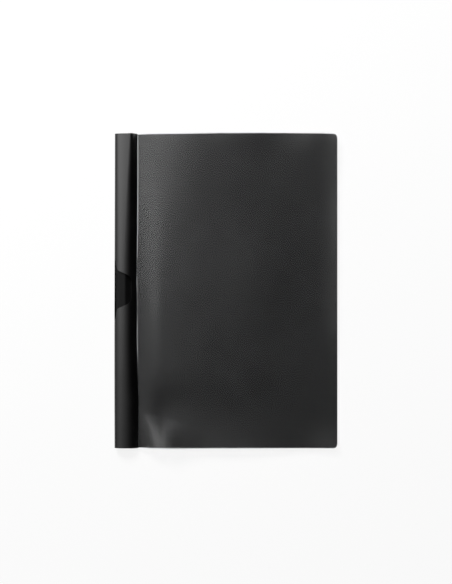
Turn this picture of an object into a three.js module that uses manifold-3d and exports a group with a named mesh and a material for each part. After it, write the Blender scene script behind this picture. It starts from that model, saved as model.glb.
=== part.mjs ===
// A4 clip folder: a plastic back cover folded round the spine, a return strip with a thumb notch
// over a sprung steel clip, and a film front cover welded under the strip's free edge.
// Millimetres. +Z up, +Y up the page, the spine at -X, the back cover flat on z = 0.

import * as THREE from 'three';
import { mergeVertices } from 'three/addons/utils/BufferGeometryUtils.js';
import Module from 'manifold-3d';

// Covers
const coverWidth = 220;
const coverHeight = 310;
const coverCorner = 4;
const sheetThickness = 0.45;
const filmThickness = 0.25;
const seamGap = 0.3;

// Spine fold and the strip that returns over the clip
const spineHeight = 8;
const foldDepth = 4.5;
const foldGap = 0.3;
const stripWidth = 21.5;
const stripEdgeRise = 0.15;
const crownReach = 8.5;
const shoulderBack = 4.1;
const shoulderDrop = 1.6;
const stripChamfer = 1.4;

// Thumb notch in the strip, from the fold inwards
const notchMouthHalf = 29.4;
const notchFlareHalf = 22;
const notchFlareDepth = 2.3;
const notchThroatHalf = 19.2;
const notchThroatDepth = 3.2;
const notchEndHalf = 12.3;
const notchDepth = 16.5;
const notchRound = 5;

// Front film
const weldWidth = 3.4;
const creaseWidth = 0.8;
const creaseSlope = 0.2;
const filmHeight = 6;
const filmRiseWidth = 24;
const filmFallWidth = 70;
const filmEdgeHeight = 1.7;
const filmInset = 0.8;
const filmCorner = 3.5;
const filmEndInset = 0.2;

// Steel clip and the film strip that hinges it in the fold
const clipLength = 297;
const steelThickness = 0.4;
const clipHeadroom = 0.85;
const clipKnee = 10.4;
const clipPinch = 15.9;
const clipMouthGap = 0.3;
const clipBendRound = 1.1;
const clipLipWidth = 1.7;
const clipLipRise = 0.6;
const clipLegOverhang = 0.8;
const hingeFlange = 12;
const hingeLength = 280;

const curveSteps = 12;
const crownSteps = 20;
const cutMargin = 2;

const foldHeight = spineHeight / 2;
const foldCut = Math.asin(foldGap / 2 / foldHeight);
const stripEdgeHeight = 2 * sheetThickness + filmThickness + 2 * seamGap + stripEdgeRise;
const clipBack = sheetThickness + filmThickness + 2 * seamGap;
const clipTop = spineHeight - sheetThickness - clipHeadroom;
const clipLegTop = clipBack + steelThickness;

const manifold = await Module();
manifold.setup();

const point = (x, z) => new THREE.Vector2(x, z);

// Quarter of the fold's ellipse, set in from the outer face by an inset
function foldArc(inset, startAngle, endAngle) {
  const clockwise = endAngle < startAngle;
  const arc = new THREE.EllipseCurve(
    foldDepth, foldHeight, foldDepth - inset, foldHeight - inset, startAngle, endAngle, clockwise);
  return arc.getPoints(curveSteps);
}

// Joins stretches of a line and drops the points that two stretches share
function joinLines(...stretches) {
  const line = [];
  for (const next of stretches.flat()) {
    const last = line[line.length - 1];
    if (!last || last.distanceTo(next) > 1e-6) line.push(next);
  }
  return line;
}

// The line moved sideways, to the left of its direction of travel when the distance is positive
function offsetLine(line, distance) {
  return line.map((here, index) => {
    const before = line[Math.max(index - 1, 0)];
    const after = line[Math.min(index + 1, line.length - 1)];
    const along = after.clone().sub(before).normalize();
    return point(here.x - along.y * distance, here.y + along.x * distance);
  });
}

// A sheet's section: its outer line, and the same line moved by the thickness
function sheetSection(line, thickness) {
  return new THREE.Shape([...line, ...offsetLine(line, thickness).reverse()]);
}

// A section in x and z, drawn out along Y and centred on the middle of the page
function drawOut(section, length) {
  const geometry = new THREE.ExtrudeGeometry(section, { depth: length, bevelEnabled: false });
  geometry.rotateX(Math.PI / 2);
  geometry.translate(0, length / 2, 0);
  return geometry;
}

// A plan outline in x and y, drawn up through the whole height of the folder
function drawUp(outline) {
  const depth = spineHeight + 2 * cutMargin;
  const geometry = new THREE.ExtrudeGeometry(outline, { depth, bevelEnabled: false, curveSegments: curveSteps });
  geometry.translate(0, 0, -cutMargin);
  return geometry;
}

function toSolid(geometry) {
  geometry.deleteAttribute('normal');
  geometry.deleteAttribute('uv');
  const merged = mergeVertices(geometry);
  const vertProperties = new Float32Array(merged.attributes.position.array);
  const triVerts = new Uint32Array(merged.index.array);
  return new manifold.Manifold(new manifold.Mesh({ numProp: 3, vertProperties, triVerts }));
}

function toGeometry(solid) {
  const { vertProperties, triVerts } = solid.getMesh();
  const geometry = new THREE.BufferGeometry();
  geometry.setAttribute('position', new THREE.BufferAttribute(vertProperties, 3));
  geometry.setIndex(new THREE.BufferAttribute(triVerts, 1));
  return geometry;
}

// Sheet outline with two round corners at its free edge
function roundedPlan(left, right, height, radius) {
  const half = height / 2;
  const plan = new THREE.Shape();
  plan.moveTo(left, -half);
  plan.lineTo(right - radius, -half);
  plan.absarc(right - radius, -half + radius, radius, -Math.PI / 2, 0, false);
  plan.absarc(right - radius, half - radius, radius, 0, Math.PI / 2, false);
  plan.lineTo(left, half);
  plan.closePath();
  return plan;
}

// The hump of the strip, from the top of the fold down to the strip's free edge
function crownCurve() {
  return new THREE.CubicBezierCurve(
    point(foldDepth, spineHeight),
    point(foldDepth + crownReach, spineHeight),
    point(stripWidth - shoulderBack, spineHeight - shoulderDrop),
    point(stripWidth, stripEdgeHeight));
}

function backCoverLine() {
  return joinLines(
    foldArc(0, Math.PI + foldCut, 1.5 * Math.PI),
    [point(coverWidth, 0)]);
}

function backCoverShape() {
  const sheet = toSolid(drawOut(sheetSection(backCoverLine(), sheetThickness), coverHeight));
  const plan = toSolid(drawUp(roundedPlan(-cutMargin, coverWidth, coverHeight, coverCorner)));
  return toGeometry(sheet.intersect(plan));
}

// The strip's plan has its two corners at the free edge cut off
function stripPlan() {
  const half = coverHeight / 2;
  const plan = new THREE.Shape();
  plan.moveTo(-cutMargin, -half);
  plan.lineTo(stripWidth - stripChamfer, -half);
  plan.lineTo(stripWidth, -half + stripChamfer);
  plan.lineTo(stripWidth, half - stripChamfer);
  plan.lineTo(stripWidth - stripChamfer, half);
  plan.lineTo(-cutMargin, half);
  plan.closePath();
  return plan;
}

// Flared mouth at the fold, sides that close in slowly, and a round-cornered end
function notchPlan() {
  const sideSlope = (notchThroatHalf - notchEndHalf) / (notchDepth - notchThroatDepth);
  const roundStart = notchEndHalf + sideSlope * notchRound;
  const plan = new THREE.Shape();
  plan.moveTo(-cutMargin, -notchMouthHalf);
  plan.lineTo(0, -notchMouthHalf);
  plan.quadraticCurveTo(notchFlareDepth, -notchFlareHalf, notchThroatDepth, -notchThroatHalf);
  plan.lineTo(notchDepth - notchRound, -roundStart);
  plan.quadraticCurveTo(notchDepth, -notchEndHalf, notchDepth, -notchEndHalf + notchRound);
  plan.lineTo(notchDepth, notchEndHalf - notchRound);
  plan.quadraticCurveTo(notchDepth, notchEndHalf, notchDepth - notchRound, roundStart);
  plan.lineTo(notchThroatDepth, notchThroatHalf);
  plan.quadraticCurveTo(notchFlareDepth, notchFlareHalf, 0, notchMouthHalf);
  plan.lineTo(-cutMargin, notchMouthHalf);
  plan.closePath();
  return plan;
}

function spineStripShape() {
  const line = joinLines(
    foldArc(0, Math.PI - foldCut, Math.PI / 2),
    crownCurve().getPoints(crownSteps));
  const strip = toSolid(drawOut(sheetSection(line, -sheetThickness), coverHeight));
  const notched = strip.intersect(toSolid(drawUp(stripPlan()))).subtract(toSolid(drawUp(notchPlan())));
  return toGeometry(notched);
}

// The stretch of the hump that the film is welded to, one seam below the strip
function weldLine() {
  const crown = crownCurve().getSpacedPoints(crownSteps);
  const inner = offsetLine(crown, -sheetThickness - seamGap);
  return inner.filter((here) => here.x > stripWidth - weldWidth);
}

// The film leaves the weld, turns up at the crease, rises to its flat stretch and falls to its edge
function filmLine() {
  const weld = weldLine();
  const weldEnd = weld[weld.length - 1];
  const valley = sheetThickness + seamGap + filmThickness;
  const creaseEnd = point(stripWidth + creaseWidth, valley + creaseSlope);
  const crease = new THREE.QuadraticBezierCurve(
    weldEnd,
    point((weldEnd.x + creaseEnd.x) / 2, valley),
    creaseEnd);
  const riseEnd = point(creaseEnd.x + filmRiseWidth, filmHeight);
  const rise = new THREE.CubicBezierCurve(
    creaseEnd,
    point(creaseEnd.x + filmRiseWidth / 3, valley + 2 * creaseSlope),
    point(creaseEnd.x + filmRiseWidth / 3, filmHeight),
    riseEnd);
  const filmRight = coverWidth - filmInset;
  const fall = new THREE.CubicBezierCurve(
    point(filmRight - filmFallWidth, filmHeight),
    point(filmRight - filmFallWidth / 2, filmHeight),
    point(filmRight - filmFallWidth / 4, filmEdgeHeight + (filmHeight - filmEdgeHeight) / 2),
    point(filmRight, filmEdgeHeight));
  return joinLines(
    weld,
    crease.getPoints(curveSteps),
    rise.getPoints(curveSteps),
    fall.getPoints(curveSteps));
}

function frontCoverShape() {
  const filmLength = coverHeight - 2 * filmEndInset;
  const film = toSolid(drawOut(sheetSection(filmLine(), -filmThickness), filmLength));
  const plan = toSolid(drawUp(roundedPlan(0, coverWidth - filmInset, filmLength, filmCorner)));
  return toGeometry(film.intersect(plan));
}

// A bend of the clip, rounded between the two straight stretches that meet at a corner
function clipBend(from, corner, to) {
  const start = corner.clone().add(from.clone().sub(corner).setLength(clipBendRound));
  const end = corner.clone().add(to.clone().sub(corner).setLength(clipBendRound));
  return new THREE.QuadraticBezierCurve(start, corner, end).getPoints(curveSteps / 2);
}

// Bottom leg, back in the fold, flat top, slope down to the pinch, and the flared lip
function steelClipShape() {
  const legEnd = point(clipPinch + clipLegOverhang, clipBack);
  const backTop = clipTop - foldHeight;
  const upperBack = new THREE.EllipseCurve(
    foldDepth, foldHeight, foldDepth - clipBack, backTop, Math.PI, Math.PI / 2, true);
  const topStart = point(foldDepth, clipTop);
  const knee = point(clipKnee, clipTop);
  const pinch = point(clipPinch, clipLegTop + clipMouthGap + steelThickness);
  const lipEnd = point(clipPinch + clipLipWidth, pinch.y + clipLipRise);
  const line = joinLines(
    [legEnd],
    foldArc(clipBack, 1.5 * Math.PI, Math.PI),
    upperBack.getPoints(curveSteps),
    clipBend(topStart, knee, pinch),
    clipBend(knee, pinch, lipEnd),
    [lipEnd]);
  return drawOut(sheetSection(line, -steelThickness), clipLength);
}

// Welded flat inside the back cover, then up the inside of the fold behind the clip
function clipHingeShape() {
  const inset = sheetThickness + seamGap;
  const line = joinLines(
    foldArc(inset, Math.PI + foldCut, 1.5 * Math.PI),
    [point(hingeFlange, inset)]);
  return drawOut(sheetSection(line, filmThickness), hingeLength);
}

function plasticSheet() {
  return new THREE.MeshStandardMaterial({ color: 0x1b1c1e, roughness: 0.42, metalness: 0 });
}

function clearFilm() {
  return new THREE.MeshStandardMaterial({
    color: 0x9a9da2, roughness: 0.2, metalness: 0, transparent: true, opacity: 0.3 });
}

function paintedSteel() {
  return new THREE.MeshStandardMaterial({ color: 0x141416, roughness: 0.55, metalness: 0.5 });
}

function piece(name, geometry, material) {
  geometry.computeVertexNormals();
  const mesh = new THREE.Mesh(geometry, material);
  mesh.name = name;
  return mesh;
}

// The leaf that opens: the strip with the film welded to it
function frontLeaf() {
  const leaf = new THREE.Group();
  leaf.add(piece('spine_strip', spineStripShape(), plasticSheet()));
  leaf.add(piece('front_cover', frontCoverShape(), clearFilm()));
  return leaf;
}

function backLeaf() {
  const leaf = new THREE.Group();
  leaf.add(piece('back_cover', backCoverShape(), plasticSheet()));
  leaf.add(piece('clip_hinge_strip', clipHingeShape(), plasticSheet()));
  return leaf;
}

const folder = new THREE.Group();
folder.add(backLeaf());
folder.add(frontLeaf());
folder.add(piece('steel_clip', steelClipShape(), paintedSteel()));
folder.position.x = -coverWidth / 2;

export default folder;
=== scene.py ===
import math

import bmesh
import bpy
import numpy as np
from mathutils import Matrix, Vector


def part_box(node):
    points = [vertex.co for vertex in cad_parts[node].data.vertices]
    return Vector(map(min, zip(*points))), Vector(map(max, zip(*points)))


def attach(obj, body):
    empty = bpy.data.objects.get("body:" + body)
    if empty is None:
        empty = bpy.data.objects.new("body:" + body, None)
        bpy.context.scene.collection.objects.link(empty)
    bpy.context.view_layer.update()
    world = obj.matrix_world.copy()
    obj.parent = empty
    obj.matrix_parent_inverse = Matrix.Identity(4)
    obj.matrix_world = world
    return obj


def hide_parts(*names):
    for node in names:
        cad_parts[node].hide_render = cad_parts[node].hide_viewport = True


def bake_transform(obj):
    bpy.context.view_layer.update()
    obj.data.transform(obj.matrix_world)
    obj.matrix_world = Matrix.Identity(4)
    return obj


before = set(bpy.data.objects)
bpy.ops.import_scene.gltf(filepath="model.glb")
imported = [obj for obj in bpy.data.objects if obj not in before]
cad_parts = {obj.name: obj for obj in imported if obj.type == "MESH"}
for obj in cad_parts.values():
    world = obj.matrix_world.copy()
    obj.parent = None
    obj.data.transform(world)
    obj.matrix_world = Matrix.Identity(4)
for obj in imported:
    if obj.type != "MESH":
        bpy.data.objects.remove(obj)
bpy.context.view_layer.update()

mm = 0.001

backLow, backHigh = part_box("back_cover")
stripLow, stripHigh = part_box("spine_strip")
clipLow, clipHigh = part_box("steel_clip")
hingeLow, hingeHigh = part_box("clip_hinge_strip")

spineX = backLow.x                 # outermost line of the fold
edgeX = backHigh.x                 # free edge of the back cover
halfPage = backHigh.y
spineTop = stripHigh.z
foldMid = spineTop / 2             # height of the fold's middle, where the leaf hinges
foldDepth = 4.5 * mm               # how far the fold's bend reaches in from the spine
sheet = 0.45 * mm                  # thickness of the black sheet
film = 0.25 * mm                   # thickness of the clear film


# camera straight above the folder, as in the photograph

camera = {
    "height": 1.05,                # above the table, in metres
    "across": -0.35 * mm,          # where it stands off the folder's centre
    "up": -1.12 * mm,
    "pageScale": 1.0081,           # photograph pixels a millimetre, on the table
    "frameHigh": 584,              # photograph's height in pixels
    "sensor": 24.0,
    "nearest": 0.01,
}


def makeCamera(spec):
    data = bpy.data.cameras.new("camera")
    data.sensor_fit = "VERTICAL"
    data.sensor_height = spec["sensor"]
    shown = spec["frameHigh"] / spec["pageScale"] * mm
    data.lens = spec["sensor"] * spec["height"] / shown
    data.clip_start = spec["nearest"]
    cam = bpy.data.objects.new("camera", data)
    cam.location = (spec["across"], spec["up"], spec["height"])
    bpy.context.collection.objects.link(cam)
    bpy.context.scene.camera = cam


makeCamera(camera)
print("camera set")


# node helpers for the materials

def newMaterial(name):
    material = bpy.data.materials.new(name)
    material.use_nodes = True
    tree = material.node_tree
    tree.nodes.clear()
    return material, tree


def link(tree, source, socket, target, place):
    tree.links.new(source.outputs[socket], target.inputs[place])


def noiseNode(tree, space, scale, detail=2.0, roughness=0.5):
    node = tree.nodes.new("ShaderNodeTexNoise")
    node.inputs["Scale"].default_value = scale
    node.inputs["Detail"].default_value = detail
    node.inputs["Roughness"].default_value = roughness
    link(tree, space, "Object", node, "Vector")
    return node


def ramp(tree, source, socket, low, high, fromLow=0.35, fromHigh=0.65):
    node = tree.nodes.new("ShaderNodeMapRange")
    node.inputs["From Min"].default_value = fromLow
    node.inputs["From Max"].default_value = fromHigh
    node.inputs["To Min"].default_value = low
    node.inputs["To Max"].default_value = high
    link(tree, source, socket, node, "Value")
    return node


def colourMix(tree, factor, first, second):
    node = tree.nodes.new("ShaderNodeMix")
    node.data_type = "RGBA"
    node.inputs["A"].default_value = (*first, 1)
    node.inputs["B"].default_value = (*second, 1)
    link(tree, factor, "Result", node, "Factor")
    return node


# black plastic sheet: satin on its outer face, dull inside

bumpStep = 0.05 * mm               # relief of a full step in a bump

satinFace = {
    "black": (0.0004, 0.0004, 0.0005),
    "worn": (0.0009, 0.0009, 0.001),
    "roughness": (0.285, 0.32),
    "ior": 1.56,
    "shine": 0.9,
    "cloudSize": 38.0,             # patches of wear, noise cells a metre
    "cloudDetail": 3.0,
    "grainSize": 1400.0,           # calendered grain, noise cells a metre
    "grainDetail": 1.0,
    "grainDepth": 0.03,
}
dullFace = {
    "black": (0.003, 0.003, 0.0033),
    "worn": (0.005, 0.005, 0.0054),
    "roughness": (0.50, 0.58),
    "ior": 1.5,
    "shine": 0.1,
    "cloudSize": 38.0,
    "cloudDetail": 3.0,
    "grainSize": 1400.0,
    "grainDetail": 1.0,
    "grainDepth": 0.03,
}


def makePlastic(name, spec):
    material, tree = newMaterial(name)
    space = tree.nodes.new("ShaderNodeTexCoord")
    cloud = noiseNode(tree, space, spec["cloudSize"], spec["cloudDetail"])
    grain = noiseNode(tree, space, spec["grainSize"], spec["grainDetail"])
    shade = colourMix(tree, ramp(tree, cloud, "Fac", 0.0, 1.0), spec["black"], spec["worn"])
    gloss = ramp(tree, cloud, "Fac", spec["roughness"][0], spec["roughness"][1])
    bump = tree.nodes.new("ShaderNodeBump")
    bump.inputs["Strength"].default_value = spec["grainDepth"]
    bump.inputs["Distance"].default_value = bumpStep
    link(tree, grain, "Fac", bump, "Height")
    surface = tree.nodes.new("ShaderNodeBsdfPrincipled")
    link(tree, shade, "Result", surface, "Base Color")
    link(tree, gloss, "Result", surface, "Roughness")
    surface.inputs["IOR"].default_value = spec["ior"]
    surface.inputs["Specular IOR Level"].default_value = spec["shine"]
    link(tree, bump, "Normal", surface, "Normal")
    out = tree.nodes.new("ShaderNodeOutputMaterial")
    link(tree, surface, "BSDF", out, "Surface")
    return material


# clear film: the black sheet shows through it, under a soft gloss

clearFilm = {
    "tint": (0.93, 0.94, 0.95),
    "ior": 1.49,
    "roughness": (0.19, 0.23),
    "cloudSize": 22.0,             # noise cells a metre
    "cloudDetail": 2.0,
}


def makeFilm(name, spec):
    material, tree = newMaterial(name)
    space = tree.nodes.new("ShaderNodeTexCoord")
    cloud = noiseNode(tree, space, spec["cloudSize"], spec["cloudDetail"])
    surface = tree.nodes.new("ShaderNodeBsdfPrincipled")
    surface.inputs["Base Color"].default_value = (*spec["tint"], 1)
    surface.inputs["IOR"].default_value = spec["ior"]
    surface.inputs["Transmission Weight"].default_value = 1.0
    link(tree, ramp(tree, cloud, "Fac", spec["roughness"][0], spec["roughness"][1]), "Result",
         surface, "Roughness")
    out = tree.nodes.new("ShaderNodeOutputMaterial")
    link(tree, surface, "BSDF", out, "Surface")
    return material


# black paint on the spring steel

clipPaint = {
    "paint": (0.001, 0.001, 0.0011),
    "thin": (0.002, 0.002, 0.0022),
    "roughness": (0.50, 0.60),
    "shine": 0.24,
    "cloudSize": 60.0,             # noise cells a metre
    "cloudDetail": 4.0,
    "speckleSize": 1500.0,
    "speckleDetail": 2.0,
    "speckleDepth": 0.12,
}


def makePaint(name, spec):
    material, tree = newMaterial(name)
    space = tree.nodes.new("ShaderNodeTexCoord")
    cloud = noiseNode(tree, space, spec["cloudSize"], spec["cloudDetail"])
    speckle = noiseNode(tree, space, spec["speckleSize"], spec["speckleDetail"])
    shade = colourMix(tree, ramp(tree, cloud, "Fac", 0.0, 1.0), spec["paint"], spec["thin"])
    bump = tree.nodes.new("ShaderNodeBump")
    bump.inputs["Strength"].default_value = spec["speckleDepth"]
    bump.inputs["Distance"].default_value = bumpStep
    link(tree, speckle, "Fac", bump, "Height")
    surface = tree.nodes.new("ShaderNodeBsdfPrincipled")
    link(tree, shade, "Result", surface, "Base Color")
    link(tree, ramp(tree, cloud, "Fac", spec["roughness"][0], spec["roughness"][1]), "Result",
         surface, "Roughness")
    surface.inputs["Specular IOR Level"].default_value = spec["shine"]
    link(tree, bump, "Normal", surface, "Normal")
    out = tree.nodes.new("ShaderNodeOutputMaterial")
    link(tree, surface, "BSDF", out, "Surface")
    return material


satinBlack = makePlastic("satin_black", satinFace)
dullBlack = makePlastic("dull_black", dullFace)
clearCover = makeFilm("clear_film", clearFilm)
blackPaint = makePaint("black_paint", clipPaint)
print("materials made")


# curves in the section: x is the distance from the spine, z the height

def bezier(points, steps):
    points = np.array(points, float)
    t = np.linspace(0, 1, steps + 1)[:, None]
    degree = len(points) - 1
    line = np.zeros((steps + 1, 2))
    for i, p in enumerate(points):
        line += math.comb(degree, i) * (1 - t) ** (degree - i) * t ** i * p
    return line


def foldArc(inset, fromDeg, toDeg, steps):
    angle = np.radians(np.linspace(fromDeg, toDeg, steps + 1))
    return np.column_stack([
        foldDepth + (foldDepth - inset) * np.cos(angle),
        foldMid + (foldMid - inset) * np.sin(angle)])


# joins stretches of a line, each of which starts where the last one ends
def joined(*stretches):
    line = [stretches[0]]
    for stretch in stretches[1:]:
        line.append(stretch[1:])
    return np.vstack(line)


# the line moved to the left of its direction of travel
def sideways(line, distance):
    along = np.gradient(line, axis=0)
    along /= np.linalg.norm(along, axis=1)[:, None]
    return line + np.column_stack([-along[:, 1], along[:, 0]]) * distance


def lengths(line):
    steps = np.linalg.norm(np.diff(line, axis=0), axis=1)
    return np.concatenate([[0], np.cumsum(steps)])


def resampled(line, start, end, count, crowd=None):
    along = lengths(line)
    places = np.linspace(start, end, count) if crowd is None else start + (end - start) * crowd
    return np.column_stack([np.interp(places, along, line[:, k]) for k in (0, 1)])


# rows up the page, closer at the ends and where something is cut

def pageRows(half, step, endStep, endReach, cut=None):
    inner = half - endReach
    upper = [np.linspace(0, inner, int(inner / step) + 1),
             np.linspace(inner, half, max(int(endReach / endStep), 1) + 1)]
    if cut:
        low, high, gap = cut
        upper.append(np.arange(low, high, gap))
    upper = np.unique(np.concatenate(upper).round(6))
    return np.concatenate([-upper[:0:-1], upper])


# a closed sheet from a grid of points on its one face and a thickness

sharpAngle = math.radians(50)      # bends sharper than this stay crisp


def sheetObject(name, grid, thickness, faceMaterial, innerMaterial=None):
    across = np.gradient(grid, axis=1)
    along = np.gradient(grid, axis=0)
    normal = np.cross(across, along)
    normal /= np.linalg.norm(normal, axis=2)[:, :, None]
    inner = grid - normal * thickness
    rows, cols = grid.shape[:2]
    count = rows * cols
    index = np.arange(count).reshape(rows, cols)
    a, b, c, d = index[:-1, :-1], index[:-1, 1:], index[1:, 1:], index[1:, :-1]
    top = np.stack([a, b, c, d], -1).reshape(-1, 4)
    faces = [top, top[:, ::-1] + count]
    rim = np.concatenate([index[0, :], index[1:, -1], index[-1, -2::-1], index[-2:0:-1, 0]])
    nextRim = np.roll(rim, -1)
    faces.append(np.stack([rim, rim + count, nextRim + count, nextRim], -1))
    mesh = bpy.data.meshes.new(name)
    mesh.from_pydata(np.vstack([grid.reshape(-1, 3), inner.reshape(-1, 3)]).tolist(), [],
                     np.vstack(faces).tolist())
    work = bmesh.new()
    work.from_mesh(mesh)
    bmesh.ops.recalc_face_normals(work, faces=work.faces)
    work.to_mesh(mesh)
    work.free()
    mesh.shade_smooth()
    mesh.set_sharp_from_angle(angle=sharpAngle)
    mesh.materials.append(faceMaterial)
    if innerMaterial:
        mesh.materials.append(innerMaterial)
        for face in mesh.polygons[len(top):2 * len(top)]:
            face.material_index = 1
    piece = bpy.data.objects.new(name, mesh)
    bpy.context.collection.objects.link(piece)
    return piece


def place(section, y):
    return np.column_stack([section[:, 0] + spineX, np.full(len(section), y), section[:, 1]])


# spine strip: upper half of the fold and the hump, with the thumb notch

spineStrip = {
    "width": 21.65 * mm,
    "edgeHeight": stripLow.z + 0.3 * mm,
    "crest": {"top": 15.0 * mm, "middle": 8.8 * mm, "bottom": 7.5 * mm},
    "roundness": {"top": 0.9 * mm, "middle": 1.2 * mm, "bottom": 1.8 * mm},   # of the fold's shoulder
    "shoulder": {"top": 0.28, "middle": 0.37, "bottom": 0.48},   # share of the crest where it levels out
    "crestHold": 0.5,              # share of the way to the free edge before it falls
    "flank": 0.85,                 # slope of the side that falls to the film
    "flankShare": 0.45,            # share of the fall that the flank takes
    "bow": {"out": 0.62 * mm, "at": -70 * mm, "reach": 170 * mm},   # how the fold bulges
    # how far it stands past the page's end: place across the strip and distance, in mm
    "endReach": [(0, 0.05), (12, 0.15), (17, 0.4), (21.5, 0.5)],
    "foldSteps": 30,
    "crownSteps": 40,
    "columns": 60,
    "rowStep": 3.0 * mm,
    "endRows": (0.3 * mm, 2.0 * mm),            # step between the rows near an end, and how far they go
    "notchRows": (5 * mm, 32 * mm, 0.5 * mm),   # from, to and step, up and down the page
}

thumbNotch = {
    "middle": 1.4 * mm,            # up the page
    "mouthHalf": 30.0 * mm,
    "flare": [(1.9 * mm, 29.2 * mm), (1.2 * mm, 20.6 * mm)],
    "throat": (3.6 * mm, 18.6 * mm),
    "end": (16.5 * mm, 12.6 * mm),
    "round": 5.0 * mm,
    "mouthSteps": 16,
    "cornerSteps": 12,
}


def notchOutline(spec):
    # points of the notch's upper side: depth from the spine, half height
    depth, half = spec["end"]
    slope = (spec["throat"][1] - half) / (depth - spec["throat"][0])
    mouth = bezier([(0, spec["mouthHalf"]), *spec["flare"], spec["throat"]], spec["mouthSteps"])
    corner = bezier([(depth - spec["round"], half + slope * spec["round"]), (depth, half),
                     (depth, half - spec["round"])], spec["cornerSteps"])
    return np.vstack([mouth, corner])


notchEdge = notchOutline(thumbNotch)


def notchDepth(y):
    up = abs(y - thumbNotch["middle"])
    if up >= notchEdge[0, 1]:
        return 0.0
    return float(np.interp(up, notchEdge[::-1, 1], notchEdge[::-1, 0]))


endEase = 1.6                      # how late a measure changes towards the page's ends


def alongPage(places, y):
    end = places["top"] if y > 0 else places["bottom"]
    return places["middle"] + (end - places["middle"]) * abs(y / halfPage) ** endEase


def foldBow(y):
    bow = spineStrip["bow"]
    return -bow["out"] * math.exp(-((y - bow["at"]) / bow["reach"]) ** 2)


# how far the strip's free edge wanders: place up the page and distance, in mm
edgeWander = [(-155, 1.5), (-108, 1.2), (-76, 0.2), (-50, -0.5), (-20, -0.4), (-4, -0.5), (12, -0.9),
              (40, -0.4), (62, 0.05), (155, 0.15)]


def wander(y):
    places, out = np.array(edgeWander).T
    return float(np.interp(y / mm, places, out)) * mm


def crownLine(spec, y):
    # over the crest to the strip's free edge
    crest = alongPage(spec["crest"], y)
    end = spec["width"] + wander(y)
    drop = spineTop - spec["edgeHeight"]
    back = spec["flankShare"] * drop
    return bezier([
        (crest, spineTop),
        (crest + spec["crestHold"] * (end - crest), spineTop),
        (end - back / spec["flank"], spec["edgeHeight"] + back),
        (end, spec["edgeHeight"])], spec["crownSteps"])


def foldLine(spec, y):
    # from the middle of the fold up to the crest
    crest = alongPage(spec["crest"], y)
    lower = alongPage(spec["roundness"], y)
    level = alongPage(spec["shoulder"], y) * crest
    return bezier([(0, foldMid), (0, spineTop - lower), (level, spineTop), (crest, spineTop)],
                  spec["foldSteps"])


def bowed(section, y):
    # the bow fades out over the fold's own depth
    fade = np.clip(1 - section[:, 0] / (2 * foldDepth), 0, 1)
    section[:, 0] += foldBow(y) * fade
    return section


endStretch = 12 * mm               # the last stretch of the page, which its ends' bow moves


def pageEnd(across, reach, y):
    # how far each point of a row is moved up or down the page, near its two ends
    places, out = np.array(reach).T
    near = min(max((abs(y) - (halfPage - endStretch)) / endStretch, 0.0), 1.0)
    return math.copysign(near, y) * np.interp(across / mm, places, out) * mm


def makeSpineStrip(spec):
    grid = []
    for y in pageRows(halfPage, spec["rowStep"], *spec["endRows"], spec["notchRows"]):
        line = joined(foldLine(spec, y), crownLine(spec, y))
        along = lengths(line)
        start = float(np.interp(notchDepth(y), line[:, 0], along))
        section = resampled(line, start, along[-1], spec["columns"])
        out = pageEnd(section[:, 0], spec["endReach"], y)
        section = place(bowed(section, y), y)
        section[:, 1] += out
        grid.append(section)
    piece = sheetObject("stripSheet", np.array(grid), sheet, satinBlack, dullBlack)
    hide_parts("spine_strip")
    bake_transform(piece)
    return piece


makeSpineStrip(spineStrip)
print("spine strip made")


# back cover: flat sheet with the lower half of the fold

# how far the page's long middle stands past its corners: place from the spine and distance, in mm
pageBow = {
    "top": [(23, -0.05), (35, 0.45), (45, 0.62), (65, 0.8), (104, 1.4), (143, 1.55),
            (183, 1.3), (203, 1.15), (216, 0.7)],
    "bottom": [(23, 0.15), (28, 0.35), (36, 0.75), (45, 1.1), (65, 1.05), (104, 0.95), (143, 0.85),
               (183, 0.8), (213, 0.9)],
}


def bowOf(across, y):
    return pageEnd(across, pageBow["top"] if y > 0 else pageBow["bottom"], y)


backCover = {
    "corner": 4.0 * mm,
    "foldSteps": 20,
    "columns": 60,
    "rowStep": 4.0 * mm,
    "cornerStep": 0.25 * mm,
}


def roundedEdge(y, half, edge, radius):
    into = abs(y) - (half - radius)
    if into <= 0:
        return edge
    return edge - radius + math.sqrt(max(radius ** 2 - into ** 2, 0.0))


def makeBackCover(spec):
    width = edgeX - spineX
    bend = foldArc(0, 180, 270, spec["foldSteps"])
    grid = []
    for y in pageRows(halfPage, spec["rowStep"], spec["cornerStep"], spec["corner"]):
        edge = roundedEdge(y, halfPage, width, spec["corner"])
        across = np.linspace(foldDepth, edge, spec["columns"])
        section = joined(bend, np.column_stack([across, np.zeros(spec["columns"])]))
        out = bowOf(section[:, 0], y)
        section = place(bowed(section, y), y)
        section[:, 1] += out
        grid.append(section)
    piece = sheetObject("backSheet", np.array(grid), -sheet, satinBlack, dullBlack)
    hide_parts("back_cover")
    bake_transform(piece)
    return piece


makeBackCover(backCover)
print("back cover made")


# front film: welded under the strip, creased, then arched over the page

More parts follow.
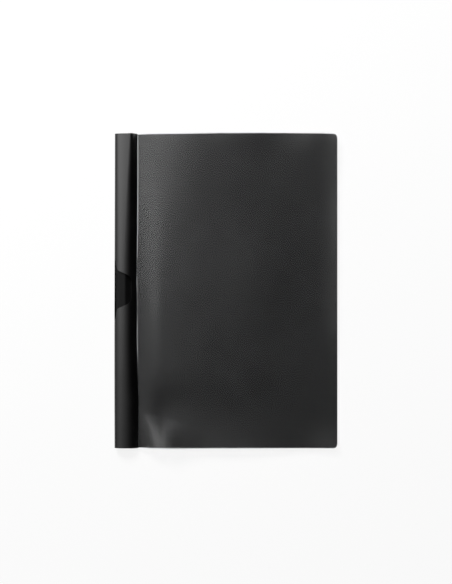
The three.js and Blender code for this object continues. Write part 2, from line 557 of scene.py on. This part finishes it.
frontFilm = {
    "weld": 3.4 * mm,              # width of the weld under the strip
    "weldRow": 62 * mm,            # up the page, where the weld's section is taken
    "seam": 0.3 * mm,
    "creaseWidth": 0.8 * mm,
    "creaseSlope": 0.2 * mm,
    "creaseSteps": 8,
    "shoulderHeight": 5.3 * mm,
    "rise": 25.0 * mm,             # width of the stretch from the crease to the shoulder
    "riseStart": 2.5 * mm,         # how high it soon stands over the crease
    "riseEase": 1.5,
    "riseSteps": 24,
    "crestHeight": 6.3 * mm,       # top of the arch
    "crestPlace": 84.0 * mm,       # from the spine
    "archSteps": 40,
    "edgeHeight": 3.0 * mm,
    "fallSteps": 60,
    "sag": 0.40,                   # how much lower the film lies at the bottom of the page
    "sagRows": (-150, -70),        # it fades out between these rows, in mm
    "sagFrom": -84 * mm,           # and comes in beside the crease
    "wanderTo": 45 * mm,           # how far from the spine it follows the strip's edge
    "easing": 20 * mm,             # width over which the last two come and go
    "inset": 0.8 * mm,
    "corner": 3.5 * mm,
    "columnStep": 1.6 * mm,
    "creaseShare": (0.06, 24),     # share of the width beside the crease, and its columns
    "rowStep": 1.8 * mm,
    "cornerStep": 0.25 * mm,
}

swellsFrom = (-86 * mm, -60 * mm)   # the swells come in over this stretch

# where the film stands off its arch: place on the page, reach each way and height, in mm
swells = [
    {"at": (100, 150), "reach": (45, 30), "height": 2.0},       # top corner stands up
    {"at": (112, -160), "reach": (24, 20), "height": 3.2},      # bottom corner
    {"at": (15, 168), "reach": (22, 26), "height": 1.6},
    {"at": (62, 168), "reach": (22, 20), "height": -3.0},       # top edge droops
    {"at": (-78, 168), "reach": (18, 20), "height": -1.4},
    {"at": (32, 10), "reach": (34, 42), "height": 1.6},         # shallow swell in the middle
    {"at": (14, -172), "reach": (58, 35), "height": 4.2},       # bottom edge lifts
    {"at": (-58, -114), "reach": (26, 19), "height": -1.5},     # dip above the buckle
]

# buckle at the bottom beside the strip: its crease runs from one place to the other
buckle = {
    "crease": ((-78, -121), (-48, -130)),
    "slope": 0.23,
    "across": [(-89, 0.0), (-66, 0.92), (-60, 1.0), (-53, 0.97), (-23, 0.0)],   # share of the slope
}

# free edge curls up over its last stretch
edgeCurl = {"from": 93.0, "height": 1.5, "flatBelow": (-75, -25)}


def filmBase(spec):
    # the film's section: weld, crease, rise to the shoulder, arch and fall to the free edge
    crown = crownLine(spineStrip, spec["weldRow"])
    under = sideways(crown, -sheet - spec["seam"])
    weld = under[under[:, 0] > spineStrip["width"] - spec["weld"]]
    end = weld[-1]
    valley = sheet + spec["seam"] + film
    creaseEnd = (spineStrip["width"] + spec["creaseWidth"], valley + spec["creaseSlope"])
    crease = bezier([end, ((end[0] + creaseEnd[0]) / 2, valley), creaseEnd], spec["creaseSteps"])
    steep = creaseEnd[0] + spec["rise"] / 3
    shoulder = creaseEnd[0] + spec["rise"]
    crest = spec["crestPlace"]
    lean = (spec["crestHeight"] - spec["shoulderHeight"]) / (crest - shoulder)
    before = spec["shoulderHeight"] - lean * spec["rise"] / spec["riseEase"]
    rise = bezier([creaseEnd, (steep, valley + spec["riseStart"]),
                   (shoulder - spec["rise"] / 3, before),
                   (shoulder, spec["shoulderHeight"])], spec["riseSteps"])
    arch = bezier([(shoulder, spec["shoulderHeight"]), ((shoulder + crest) / 2, spec["crestHeight"]),
                   (crest, spec["crestHeight"])], spec["archSteps"])
    right = edgeX - spineX - spec["inset"]
    fall = bezier([(crest, spec["crestHeight"]), ((2 * crest + right) / 3, spec["crestHeight"]),
                   ((crest + 2 * right) / 3, spec["edgeHeight"]),
                   (right, spec["edgeHeight"])], spec["fallSteps"])
    return joined(weld, crease, rise, arch, fall)


def smooth(low, high, value):
    t = min(max((value - low) / (high - low), 0.0), 1.0)
    return t * t * (3 - 2 * t)


def filmLift(x, y):
    lift = 0.0
    for swell in swells:
        across = (x / mm - swell["at"][0]) / swell["reach"][0]
        along = (y / mm - swell["at"][1]) / swell["reach"][1]
        lift += swell["height"] * math.exp(-(across ** 2 + along ** 2))
    lift *= smooth(*swellsFrom, x)
    (x0, y0), (x1, y1) = buckle["crease"]
    below = (y0 + (y1 - y0) * (x / mm - x0) / (x1 - x0)) - y / mm
    across = np.interp(x / mm, *np.array(buckle["across"]).T)
    lift += buckle["slope"] * max(below, 0.0) * across
    curl = max(0.0, (x / mm - edgeCurl["from"]) / (edgeX / mm - edgeCurl["from"]))
    lift += edgeCurl["height"] * curl ** 2 * smooth(*edgeCurl["flatBelow"], y / mm)
    return lift * mm


def makeFrontFilm(spec):
    base = filmBase(spec)
    along = lengths(base)
    right = base[-1, 0]
    count = int(along[-1] / spec["columnStep"])
    even = np.linspace(0, 1, count)
    share, columns = spec["creaseShare"]
    nearCrease = np.linspace(0, share, columns)
    places = np.unique(np.concatenate([nearCrease, even]))
    grid = []
    for y in pageRows(halfPage, spec["rowStep"], spec["cornerStep"], spec["corner"]):
        edge = roundedEdge(y, halfPage, right, spec["corner"])
        end = float(np.interp(edge, base[:, 0], along))
        section = resampled(base, 0, end, None, places)
        out = bowOf(section[:, 0], y)
        section[:, 0] += wander(y) * np.clip((spec["wanderTo"] - section[:, 0]) / spec["easing"], 0, 1)
        section = place(section, y)
        section[:, 1] += out
        past = np.clip((section[:, 0] - spec["sagFrom"]) / spec["easing"], 0, 1)
        section[:, 2] *= 1 - spec["sag"] * (1 - smooth(*spec["sagRows"], y / mm)) * past
        for p in section:
            p[2] += filmLift(p[0], p[1])
        grid.append(section)
    piece = sheetObject("frontFilm", np.array(grid), film, clearCover)
    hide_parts("front_cover")
    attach(piece, "front_leaf")
    return piece


makeFrontFilm(frontFilm)
print("front film made")


# white bead along the weld under the strip's edge: a painted highlight standing in for the glint on the
# crease, thick at the top of the page where the glint is bright

paintedGlintBead = {
    "place": 22.22 * mm,           # from the spine
    "height": 1.25 * mm,
    "rise": 0.35 * mm,             # half its thickness where it is 1 mm wide
    "sides": 10,
    "rowStep": 1.0,                # in mm
    # up the page and how wide the painted highlight is there, in mm: wide where the glint is bright,
    # thin where it fades
    "widths": [(155, 0.52), (62, 0.54), (50, 0.50), (36, 0.35), (29, 0.05), (18, 0.05),
               (10, 0.30), (-4, 0.14), (-20, 0.08), (-36, 0.30), (-58, 0.30), (-76, 0.03)],
    # white of the painted highlight along the crease
    "white": (0.78, 0.79, 0.80),
    "roughness": (0.30, 0.42),
    "cloudSize": 120.0,            # noise cells a metre
    "cloudDetail": 2.0,
}


# plain white material for the painted highlight along the crease
def makePaintedGlintMaterial(name, spec):
    material, tree = newMaterial(name)
    space = tree.nodes.new("ShaderNodeTexCoord")
    cloud = noiseNode(tree, space, spec["cloudSize"], spec["cloudDetail"])
    surface = tree.nodes.new("ShaderNodeBsdfPrincipled")
    surface.inputs["Base Color"].default_value = (*spec["white"], 1)
    link(tree, ramp(tree, cloud, "Fac", spec["roughness"][0], spec["roughness"][1]), "Result",
         surface, "Roughness")
    out = tree.nodes.new("ShaderNodeOutputMaterial")
    link(tree, surface, "BSDF", out, "Surface")
    return material


# the white bead that paints in the glint along the crease
def makePaintedGlintBead(spec):
    rows = np.array(spec["widths"])[::-1]
    ys = np.arange(rows[0, 0], rows[-1, 0], spec["rowStep"])
    widths = np.interp(ys, rows[:, 0], rows[:, 1]) * mm
    work = bmesh.new()
    rings = []
    for y, width in zip(ys * mm, widths):
        ring = []
        for side in range(spec["sides"]):
            turn = 2 * math.pi * side / spec["sides"]
            ring.append(work.verts.new((
                spineX + spec["place"] + wander(y) + math.cos(turn) * width / 2, y,
                spec["height"] + math.sin(turn) * spec["rise"] * width / mm)))
        rings.append(ring)
    for ring, after in zip(rings, rings[1:]):
        for side in range(spec["sides"]):
            other = (side + 1) % spec["sides"]
            work.faces.new((ring[side], ring[other], after[other], after[side]))
    work.faces.new(rings[0][::-1])
    work.faces.new(rings[-1])
    bmesh.ops.recalc_face_normals(work, faces=work.faces)
    mesh = bpy.data.meshes.new("paintedGlintBead")
    work.to_mesh(mesh)
    work.free()
    mesh.shade_smooth()
    mesh.materials.append(makePaintedGlintMaterial("painted_glint_white", spec))
    piece = bpy.data.objects.new("paintedGlintBead", mesh)
    bpy.context.collection.objects.link(piece)
    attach(piece, "front_leaf")
    return piece


makePaintedGlintBead(paintedGlintBead)
print("weld bead made")


# steel clip: one bent strip of spring steel

steelClip = {
    "steel": 0.4 * mm,             # thickness
    "knee": 10.4 * mm,             # from the spine, where the jaw turns down
    "pinch": 15.9 * mm,            # from the spine, where it meets the leg
    "mouth": 0.3 * mm,
    "bend": 1.1 * mm,
    "bendSteps": 8,
    "lip": (1.7 * mm, 0.6 * mm),   # the lip that leads the sheets in: across and up
    "legOverhang": 0.8 * mm,
    "legPoints": 5,
    "spineSteps": 14,              # in each half of the bend at the spine
    "rowStep": 12.0 * mm,
    "endRows": (1 * mm, 2 * mm),   # step between the rows near an end, and how far they go
}


def roundedCorner(before, corner, after, radius, steps):
    before, corner, after = (np.array(p, float) for p in (before, corner, after))
    start = corner + (before - corner) / np.linalg.norm(before - corner) * radius
    end = corner + (after - corner) / np.linalg.norm(after - corner) * radius
    return bezier([start, corner, end], steps)


def makeClip(spec):
    back = clipLow.z
    top = clipHigh.z
    lower = foldArc(back, 270, 180, spec["spineSteps"])
    angle = np.radians(np.linspace(180, 90, spec["spineSteps"] + 1))
    upper = np.column_stack([foldDepth + (foldDepth - back) * np.cos(angle),
                             foldMid + (top - foldMid) * np.sin(angle)])
    pinch = (spec["pinch"], back + 2 * spec["steel"] + spec["mouth"])
    lip = (pinch[0] + spec["lip"][0], pinch[1] + spec["lip"][1])
    knee = (spec["knee"], top)
    across = np.linspace(spec["pinch"] + spec["legOverhang"], foldDepth, spec["legPoints"])
    leg = np.column_stack([across, np.full(spec["legPoints"], back)])
    bend = (spec["bend"], spec["bendSteps"])
    section = joined(
        leg, lower, upper,
        np.vstack([[[foldDepth, top]], roundedCorner((foldDepth, top), knee, pinch, *bend)]),
        np.vstack([[knee], roundedCorner(knee, pinch, lip, *bend)]),
        np.array([pinch, lip]))
    rows = pageRows(clipHigh.y, spec["rowStep"], *spec["endRows"])
    grid = np.array([place(section, y) for y in rows])
    piece = sheetObject("clipRail", grid, spec["steel"], blackPaint)
    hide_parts("steel_clip")
    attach(piece, "clip")
    return piece


makeClip(steelClip)
print("clip made")


# hinge strip: welded inside the back cover, and up behind the clip

hingeStrip = {
    "bendSteps": 16,
    "flatPoints": 8,
    "rowStep": 12.0 * mm,
    "endRows": (1 * mm, 2 * mm),   # step between the rows near an end, and how far they go
}


def makeHingeStrip(spec):
    inset = hingeLow.z
    bend = foldArc(inset, 180, 270, spec["bendSteps"])
    across = np.linspace(foldDepth, hingeHigh.x - spineX, spec["flatPoints"])
    section = joined(bend, np.column_stack([across, np.full(spec["flatPoints"], inset)]))
    rows = pageRows(hingeHigh.y, spec["rowStep"], *spec["endRows"])
    grid = np.array([place(section, y) for y in rows])
    piece = sheetObject("clipHinge", grid, -film, dullBlack)
    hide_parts("clip_hinge_strip")
    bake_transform(piece)
    return piece


makeHingeStrip(hingeStrip)
print("hinge strip made")


# floor and light

studio = {
    "floor": (0.9, 0.9, 0.9),
    "shadowShare": 0.15,                 # share of the floor that takes light and shadow
    "floorReach": 60.0,
    "floorDrop": 0.3 * mm,
    "skyAxis": (-0.45, 0.35, 0.82),      # the bright side of the room
    "skyPeak": 0.65,
    "skyFocus": 3.0,                     # how fast the room darkens away from that side
    "softbox": {"at": (-0.51, 0.36, 1.15), "size": 0.7, "power": 1.6},
    "key": {"at": (-0.7, 1.4, 1.0), "size": 0.6, "power": 44.0},
}


def makeFloor(spec):
    material, tree = newMaterial("floor_white")
    path = tree.nodes.new("ShaderNodeLightPath")
    seen = tree.nodes.new("ShaderNodeMath")
    seen.operation = "MAXIMUM"
    link(tree, path, "Is Camera Ray", seen, 0)
    link(tree, path, "Is Glossy Ray", seen, 1)
    shown = tree.nodes.new("ShaderNodeMath")
    shown.operation = "MAXIMUM"
    link(tree, seen, "Value", shown, 0)
    link(tree, path, "Is Transmission Ray", shown, 1)
    share = tree.nodes.new("ShaderNodeMath")
    share.operation = "MULTIPLY"
    share.inputs[1].default_value = 1 - spec["shadowShare"]
    link(tree, shown, "Value", share, 0)
    lit = tree.nodes.new("ShaderNodeBsdfDiffuse")
    lit.inputs["Color"].default_value = (*spec["floor"], 1)
    white = tree.nodes.new("ShaderNodeEmission")
    white.inputs["Color"].default_value = (1, 1, 1, 1)
    white.inputs["Strength"].default_value = 1.0
    both = tree.nodes.new("ShaderNodeMixShader")
    link(tree, share, "Value", both, "Fac")
    link(tree, lit, "BSDF", both, 1)
    link(tree, white, "Emission", both, 2)
    out = tree.nodes.new("ShaderNodeOutputMaterial")
    link(tree, both, "Shader", out, "Surface")
    mesh = bpy.data.meshes.new("floor")
    reach = spec["floorReach"]
    below = -spec["floorDrop"]
    corners = [(-reach, -reach, below), (reach, -reach, below),
               (reach, reach, below), (-reach, reach, below)]
    mesh.from_pydata(corners, [], [(0, 1, 2, 3)])
    mesh.materials.append(material)
    floor = bpy.data.objects.new("floor", mesh)
    bpy.context.collection.objects.link(floor)


def makeLamp(name, spec):
    data = bpy.data.lights.new(name, "AREA")
    data.shape = "SQUARE"
    data.size = spec["size"]
    data.energy = spec["power"]
    lamp = bpy.data.objects.new(name, data)
    lamp.location = spec["at"]
    lamp.rotation_euler = Vector(spec["at"]).to_track_quat("Z", "Y").to_euler()
    bpy.context.collection.objects.link(lamp)


def makeWorld(spec):
    world = bpy.data.worlds.new("studio")
    world.use_nodes = True
    bpy.context.scene.world = world
    tree = world.node_tree
    way = tree.nodes.new("ShaderNodeTexCoord")
    facing = tree.nodes.new("ShaderNodeVectorMath")
    facing.operation = "DOT_PRODUCT"
    facing.inputs[1].default_value = Vector(spec["skyAxis"]).normalized()
    link(tree, way, "Generated", facing, 0)
    lit = tree.nodes.new("ShaderNodeClamp")
    link(tree, facing, "Value", lit, "Value")
    focus = tree.nodes.new("ShaderNodeMath")
    focus.operation = "POWER"
    focus.inputs[1].default_value = spec["skyFocus"]
    link(tree, lit, "Result", focus, 0)
    level = tree.nodes.new("ShaderNodeMath")
    level.operation = "MULTIPLY"
    level.inputs[1].default_value = spec["skyPeak"]
    link(tree, focus, "Value", level, 0)
    link(tree, level, "Value", tree.nodes["Background"], "Strength")
    tree.nodes["Background"].inputs["Color"].default_value = (1, 1, 1, 1)


makeFloor(studio)
makeWorld(studio)
makeLamp("softbox", studio["softbox"])
makeLamp("keyLamp", studio["key"])
bpy.context.scene.view_settings.view_transform = "Standard"
print("studio lit")
